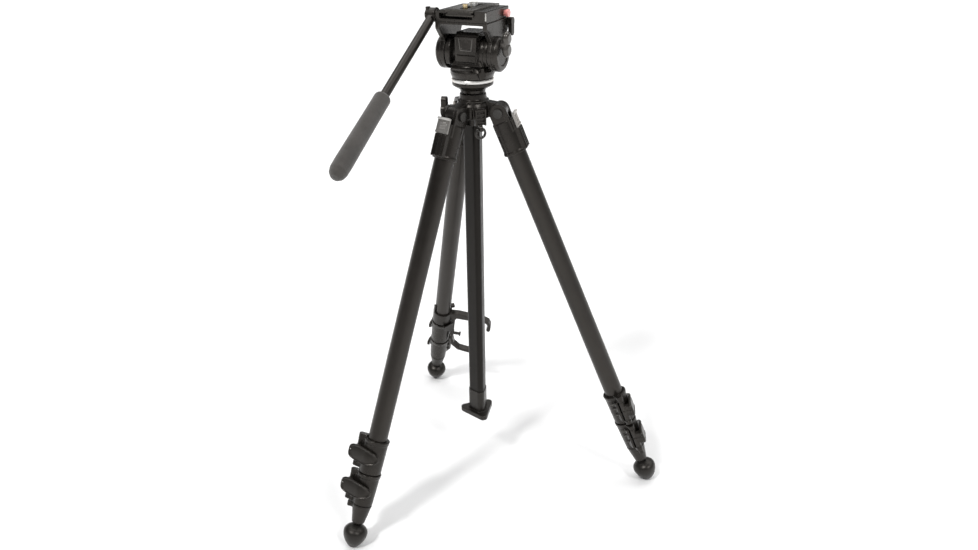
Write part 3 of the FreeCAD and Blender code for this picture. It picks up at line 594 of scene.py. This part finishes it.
def make_angle_tabs():
    """The tab that frees the leg's angle stop, with a bright lip on its top edge: a painted highlight.
    """
    tab = moulded([cad_solid("rear_angle_tab", REAR)], voxel=0.3, rounds=2, keep=0.3)
    low, high = span("rear_angle_tab", REAR)
    lip = crisp([block((high.x - 3.6, low.y + 0.3, high.z - 3.0),
                       (high.x + 0.5, high.y - 0.3, high.z + 0.2))], 0.6)
    on_every_leg("angle_tab", tab, "tab_grey")
    on_every_leg("angle_tab", lip, "painted_glint", "_lip")


def make_clamp(piece, lever_piece):
    """Clamp sleeve, with a raised collar on top and three fins across its front, in a lighter grey as a
    painted highlight on their edges.
    """
    collar_above_lever = 8.7
    radius = -span("rear_" + piece, REAR)[0].x
    top = span("rear_" + lever_piece, REAR)[1].z + collar_above_lever
    collar = hoop(radius - 0.7, 1.3, (0, 0, top - 1.5))
    on_every_leg(piece, moulded([cad_solid("rear_" + piece, REAR), collar],
                                voxel=0.55, rounds=9, keep=0.35))
    fin_h = 1.1
    fins = crisp([block((-8.0, -radius - 2.7, top - drop), (3.0, -radius + 2.0, top - drop + fin_h))
                  for drop in (12.0, 21.0, 33.0)], 0.2)
    on_every_leg(piece, fins, "edge_highlight_grey", "_fins")


def make_lever(piece):
    """Thumb lever: oval plate, barrel on the pin and the web between them, with a bright dot: a painted
    glint.
    """
    low, high = span("rear_" + piece, REAR)
    middle = (low.z + high.z) / 2
    barrel_h = high.z - low.z
    plate = lever_plate(middle, half_h=12.3, low_y=-30.0, high_y=23.0, radius=19.7, thick=4.6,
                        dish=1.3, crown=1.2)
    pin_x, pin_y = 10.5, -22.5
    barrel = rod(4.6, (pin_x, pin_y, middle - barrel_h / 2), barrel_h, "Z", 40, 0.6)
    web_half = 9.0
    web_low = middle - web_half
    web = prism([(8.5, -19.4, web_low), (8.5, -25.6, web_low), (22.5, -27.0, web_low),
                 (21.0, -16.0, web_low)], (0, 0, 2 * web_half))
    hole = rod(1.5, (0.0, -26.6, middle + 1.5), 60.0, "X", 24)
    on_every_leg(piece, moulded([plate, barrel, web], voxel=0.4, rounds=3, keep=0.4,
                                late_cuts=[hole]))
    # A small bright disc at the plate's end: a painted glint.
    dot_r, dot_from, dot_to = 1.5, 23.0, 24.9
    dot = lathe([(0, dot_from), (dot_r, dot_from), (dot_r, dot_to - 0.3), (dot_r - 0.4, dot_to),
                 (0, dot_to)], 24, "X", (0, -27.0, middle + 2.0))
    on_every_leg(piece, joined_mesh([dot]), "painted_glint", "_dot")


def make_feet():
    """End cap, and a rubber bulb that bulges below its neck and is rounded underneath."""
    on_every_leg("end_cap", moulded([cad_solid("rear_end_cap", REAR)], voxel=0.45, rounds=3,
                                    keep=0.35))
    low, high = span("rear_foot", REAR)
    width, depth = high.x, high.z - low.z
    # share of the depth below the top, share of the full radius there
    side = ((0.0, 0.32), (0.03, 0.50), (0.075, 0.68), (0.13, 0.82), (0.20, 0.93), (0.27, 0.985),
            (0.33, 1.0), (0.40, 0.99), (0.48, 0.955), (0.57, 0.895), (0.66, 0.81), (0.75, 0.70),
            (0.83, 0.575))
    sole_r, sole_step = 11.0, 7.0
    profile = [(0, low.z)]
    for k in range(1, 9):
        a = math.radians(sole_step * k)
        profile.append((sole_r * math.sin(a), low.z + sole_r - sole_r * math.cos(a)))
    profile += [(width * across, high.z - depth * down) for down, across in reversed(side)]
    profile.append((0, high.z))
    on_every_leg("foot", joined_mesh([lathe(profile, 96)]))


def make_legs():
    make_tubes()
    make_top_castings()
    make_angle_tabs()
    for section in ("upper", "lower"):
        make_clamp(section + "_clamp", section + "_lever")
        make_lever(section + "_lever")
    make_feet()


# ---------------------------------------------------------------- shoulder and column

def make_shoulder():
    moulded_skin("leg_clip", REAR, rounds=4)
    moulded_skin("shoulder_casting", ROW, "shoulder_skin", voxel=0.6, rounds=4)
    moulded_skin("column_lock_knob", ROW, voxel=0.4)
    moulded_skin("strap_bracket", ROW, voxel=0.35)
    moulded_skin("column_end_plate", ROW)
    low, high = span("strap_ring", ROW)
    wire = (high.y - low.y) / 2
    ring = joined_mesh([hoop((high.x - low.x) / 2 - wire, wire, (low + high) / 2, "Y")])
    place("strap_ring_skin", ring, ROW, body_of("strap_ring"), "strap_ring")
    for node in ("hinge_bolts", "column_bush"):
        look_of(node)
    # The column gets the darker copy of the tube finish: painted shade.
    look_of("column_tube", "shaded_column_black")
    crisp_skin("column_top_plate", ROW, 0.5)
    crisp_skin("head_base_ring", ROW, 0.3)


# ---------------------------------------------------------------- head

def bar(start, end, width, depth):
    """A thin rib on the operator's side of the head, from one (x, z) to another."""
    a, b = Vector((start[0], 0, start[1])), Vector((end[0], 0, end[1]))
    along = (b - a).normalized()
    side = Vector((-along.z, 0, along.x)) * width / 2
    front, back = depth
    return prism([p + Vector((0, front, 0)) for p in (a - side, b - side, b + side, a + side)],
                 (0, back - front, 0))


def make_housing():
    """Tilt drum over a trunk, with a cover panel on the operator's side."""
    low, high = span("drag_housing", HEAD)
    tilt = JOINTS["tilt_turn"]["pos_m"][2] / MM
    r, end, waist = 22.6, 32.0, 15.0
    drum = lathe([(0, -end), (r - 1.2, -end), (r, -30.8), (r, -25.2), (r - 1.2, -24.0), (16.5, -21.5),
                  (waist, -19.0), (waist, 19.0), (r - 1.0, 19.6), (r, 20.4), (r, 24.6),
                  (r - 1.1, 25.3), (r - 1.1, 26.1), (r, 26.8), (r, 31.0), (r - 1.0, end), (0, end)],
                 120, "X", (0, 0, tilt))
    left, wide, shoulder_z = -14.0, 33.0, 716.5
    trunk = prism([(left, -24.4, low.z), (left, -24.4, shoulder_z), (left, -18, high.z),
                   (left, 18, high.z), (left, 24, shoulder_z), (left, 24, low.z)], (wide, 0, 0))
    skirt = prism([(-19, -26, low.z), (27, -26, low.z), (21, -24.4, low.z + 6),
                   (-16, -24.4, low.z + 6)], (0, 50.0, 0))
    face_y, panel_top, panel_end = -26.5, 717.5, 684.0
    panel = prism([(-12.5, face_y, panel_top), (19.5, face_y, panel_top),
                   (17.5, face_y, panel_end), (-10.5, face_y, panel_end)], (0, 4.0, 0))
    before_y, inset_top, inset_end = -28.0, 715.5, 702.0
    cuts = [block((-13.0, before_y, z), (20.0, -25.2, z + 1.2)) for z in (693.6, 684.6)]
    cuts.append(prism([(-5.6, before_y, inset_top), (12.6, before_y, inset_top),
                       (10.6, before_y, inset_end), (-3.6, before_y, inset_end)], (0, 2.2, 0)))
    cuts.append(block((-40, -40, low.z - 20), (40, 40, low.z)))
    mesh = moulded([drum, trunk, skirt, panel], cuts=cuts, voxel=0.42, rounds=2, keep=0.4)
    place("drag_housing_skin", mesh, HEAD, body_of("drag_housing"), "drag_housing", "head_plastic")

    # raised lines down both sides of the inset and across below it, in a lighter grey as a painted
    # highlight along the ridges
    rib_top, rib_end, rib_width, rib_depth = 716.0, 700.4, 1.1, (-27.1, -26.2)
    ribs = [bar((-6.9, rib_top), (-4.6, rib_end), rib_width, rib_depth),
            bar((-5.0, rib_end), (12.0, rib_end), rib_width, rib_depth),
            bar((11.6, rib_end), (13.9, rib_top), rib_width, rib_depth)]
    place("panel_outline", crisp(ribs, 0.15), HEAD, body_of("drag_housing"), look="edge_highlight_grey")


def make_cradle():
    """Cradle with slanted rear edges on its two cheeks."""
    low, high = span("cradle", HEAD)
    start_x, start_y = low.x - 1, low.y - 1
    wedge = prism([(start_x, start_y, high.z - 8.0), (start_x, start_y, high.z - 40.0),
                   (start_x, -23.5, high.z - 40.0), (start_x, -17.0, high.z - 27.0)],
                  (high.x - low.x + 2, 0, 0))
    moulded_skin("cradle", HEAD, look="head_plastic", cuts=[wedge])


def make_tilt_knob():
    """Tilt lock knob, cut flat on its outer face."""
    low, high = span("tilt_knob", HEAD)
    face = block((high.x - 1.2, low.y - 1, low.z - 1), (high.x + 1, high.y + 1, high.z + 1))
    moulded_skin("tilt_knob", HEAD, look="head_gloss", cuts=[face], voxel=0.4, rounds=7)


def make_plate_holder():
    """Plate holder with one upright corner cut off, and a bright strip on the cut: a painted highlight.
    """
    low, high = span("plate_holder", HEAD)
    cut = 2.6
    corner = prism([(high.x - cut, low.y - 1.0, low.z - 1), (high.x + 1.0, low.y - 1.0, low.z - 1),
                    (high.x + 1.0, low.y + cut, low.z - 1)], (0, 0, 20.0))
    moulded_skin("plate_holder", HEAD, look="head_plastic", cuts=[corner], voxel=0.4, rounds=2)
    # A bright metal strip on the cut corner: a painted highlight.
    z = low.z + 3.0
    strip = prism([(high.x - 1.35, low.y, z), (high.x, low.y + 1.35, z),
                   (high.x - 1.0, low.y + cut, z), (high.x - cut, low.y + 1.0, z)], (0, 0, 9.5))
    place("holder_corner_highlight", crisp([strip], 0.2), HEAD, body_of("plate_holder"), look="painted_glint")


def make_screws():
    """The two camera screws and the anti-twist pin, each in its own metal."""
    points, faces = cad_solid("plate_screws", HEAD)
    reach = 7.5
    for name, middle_y, look in (("front_screw", -18.0, "brass"), ("rear_screw", 3.0, "steel"),
                                 ("plate_pin", 15.0, "steel")):
        pick = [face for face in faces
                if abs(sum(points[i].y for i in face) / len(face) - middle_y) < reach]
        used = sorted({i for face in pick for i in face})
        index = {old: new for new, old in enumerate(used)}
        solid = [points[i] for i in used], [tuple(index[i] for i in face) for face in pick]
        place(name + "_skin", joined_mesh([solid]), HEAD, body_of("plate_screws"), "plate_screws",
              look)


def make_head():
    make_housing()
    moulded_skin("pan_base", HEAD, look="head_plastic")
    moulded_skin("pan_lock_knob", HEAD, voxel=0.3)
    moulded_skin("side_caps", HEAD, look="head_plastic")
    moulded_skin("plate_lock_knob", HEAD, voxel=0.3)
    moulded_skin("handle_rosette", HEAD, voxel=0.35, rounds=2)
    moulded_skin("handle_knob", HEAD, voxel=0.3)
    make_cradle()
    make_tilt_knob()
    make_plate_holder()
    crisp_skin("sliding_plate", HEAD, 0.5, "head_plastic")
    make_screws()
    for node in ("release_button", "tilt_shaft"):
        look_of(node)
    moulded_skin("handle_tube", HEAD, voxel=0.35)
    grip = moulded_skin("handle_grip", HEAD, voxel=0.6, rounds=6, keep=0.5)


# ---------------------------------------------------------------- studio

def make_floor():
    mesh = bpy.data.meshes.new("floor")
    reach = 40.0
    mesh.from_pydata([(-reach, -reach, 0), (reach, -reach, 0), (reach, reach, 0), (-reach, reach, 0)],
                     [], [(0, 1, 2, 3)])
    floor = linked("floor", mesh)
    mat = bpy.data.materials.new("floor_pale")
    mat.use_nodes = True
    shader = mat.node_tree.nodes["Principled BSDF"]
    shader.inputs["Base Color"].default_value = (0.9, 0.9, 0.9, 1)
    shader.inputs["Roughness"].default_value = 0.8
    floor.data.materials.append(mat)


def sun(name, azimuth, elevation, power, spread):
    """Soft light from one direction; azimuth 0 is +X, turning towards +Y."""
    data = bpy.data.lights.new(name, "SUN")
    data.energy = power
    data.angle = math.radians(spread)
    light = linked(name, data)
    a, e = math.radians(azimuth), math.radians(elevation)
    towards = Vector((math.cos(a) * math.cos(e), math.sin(a) * math.cos(e), math.sin(e)))
    light.rotation_euler = towards.to_track_quat("Z", "Y").to_euler()


def make_sky():
    """A white world, bright towards the ground and dim above, so that gloss stays dark."""
    ground_glow, sky_glow = 0.80, 0.12
    fade_from, fade_to = 0.03, 0.16
    world = bpy.data.worlds.new("studio")
    world.use_nodes = True
    tree = world.node_tree
    sky = tree.nodes["Background"]
    sky.inputs["Color"].default_value = (1.0, 1.0, 1.0, 1)
    split = tree.nodes.new("ShaderNodeSeparateXYZ")
    tree.links.new(tree.nodes.new("ShaderNodeTexCoord").outputs["Generated"], split.inputs["Vector"])
    glow = ranged(tree, split.outputs["Z"], ground_glow, sky_glow, fade_from, fade_to)
    tree.links.new(glow, sky.inputs["Strength"])
    bpy.context.scene.world = world


def make_studio():
    make_floor()
    sun("key", 212.0, 50.0, 1.6, 9.0)
    sun("fill", 290.0, 42.0, 1.1, 16.0)
    sun("back", 70.0, 60.0, 0.9, 60.0)
    sun("right", 0.0, 48.0, 0.7, 40.0)
    sun("top", 150.0, 75.0, 0.7, 50.0)
    make_sky()
    bpy.context.scene.view_settings.view_transform = "Standard"


def make_camera():
    eye = Vector((-0.3502, -1.1154, 0.8947))
    target = Vector((0, 0, 0.254))
    roll = math.radians(-1.06)
    forward = (target - eye).normalized()
    level = forward.cross(Vector((0, 0, 1))).normalized()
    upright = level.cross(forward)
    right = level * math.cos(roll) + upright * math.sin(roll)
    data = bpy.data.cameras.new("camera")
    data.sensor_width = 36.0
    data.lens = 30.04
    data.shift_x, data.shift_y = 0.0118, 0.0593
    camera = linked("camera", data)
    camera.matrix_world = axes_matrix(right, right.cross(forward), -forward, eye)
    bpy.context.scene.camera = camera


make_legs()
make_shoulder()
make_head()
make_studio()
make_camera()
